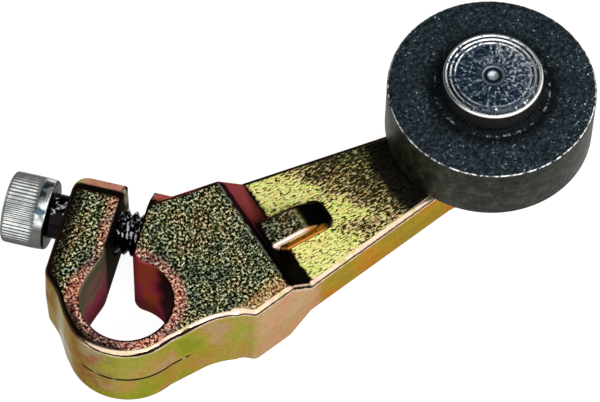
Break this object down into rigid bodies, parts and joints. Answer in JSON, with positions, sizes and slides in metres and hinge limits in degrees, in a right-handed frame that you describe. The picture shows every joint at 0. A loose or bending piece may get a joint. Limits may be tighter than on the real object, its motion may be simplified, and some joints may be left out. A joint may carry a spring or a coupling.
{
  "type": "limit switch roller lever arm",
  "caption": "Clamp-on roller lever for a rotary limit switch: split hub, socket head clamp screw, tapered arm and a steel roller on a headed pin.",
  "frame": {"origin": "on the axis of the shaft bore, at the hub's back face", "axes": "+Z along the bore to the side the roller is on, +X from the bore's axis to the roller's axis, +Y to the side the clamp ears are on; right-handed"},
  "size_m": [0.0533, 0.0279, 0.0159],
  "materials": {
    "chromated_zinc": "die-cast lever with a yellow iridescent chromate coat, grainy on its flat faces",
    "zinc_plated_screw": "bright zinc plate, knurled head",
    "washer_steel": "plain steel",
    "roller_steel": "blackened sintered steel, fine grain",
    "pin_steel": "turned steel, concentric tool rings on the head"
  },
  "bodies": {
    "lever": {"lever_arm": "chromated_zinc", "roller_pin": "pin_steel"},
    "roller": {"roller": "roller_steel"},
    "thrust_washer": {"thrust_washer": "washer_steel"},
    "clamp_screw": {"clamp_screw": "zinc_plated_screw"}
  },
  "joints": [
    {"name": "roller_spin", "type": "hinge", "parent": "lever", "child": "roller", "pos_m": [0.0381, 0, 0.01063], "axis": [0, 0, 1], "continuous": true},
    {"name": "washer_spin", "type": "hinge", "parent": "lever", "child": "thrust_washer", "pos_m": [0.0381, 0, 0.007], "axis": [0, 0, 1], "continuous": true},
    {"name": "clamp_screw_turn", "type": "hinge", "parent": "lever", "child": "clamp_screw", "pos_m": [0.00654, 0.00654, 0.00435], "axis": [-0.7071, 0.7071, 0], "range_deg": [-720, 720]}
  ]
}
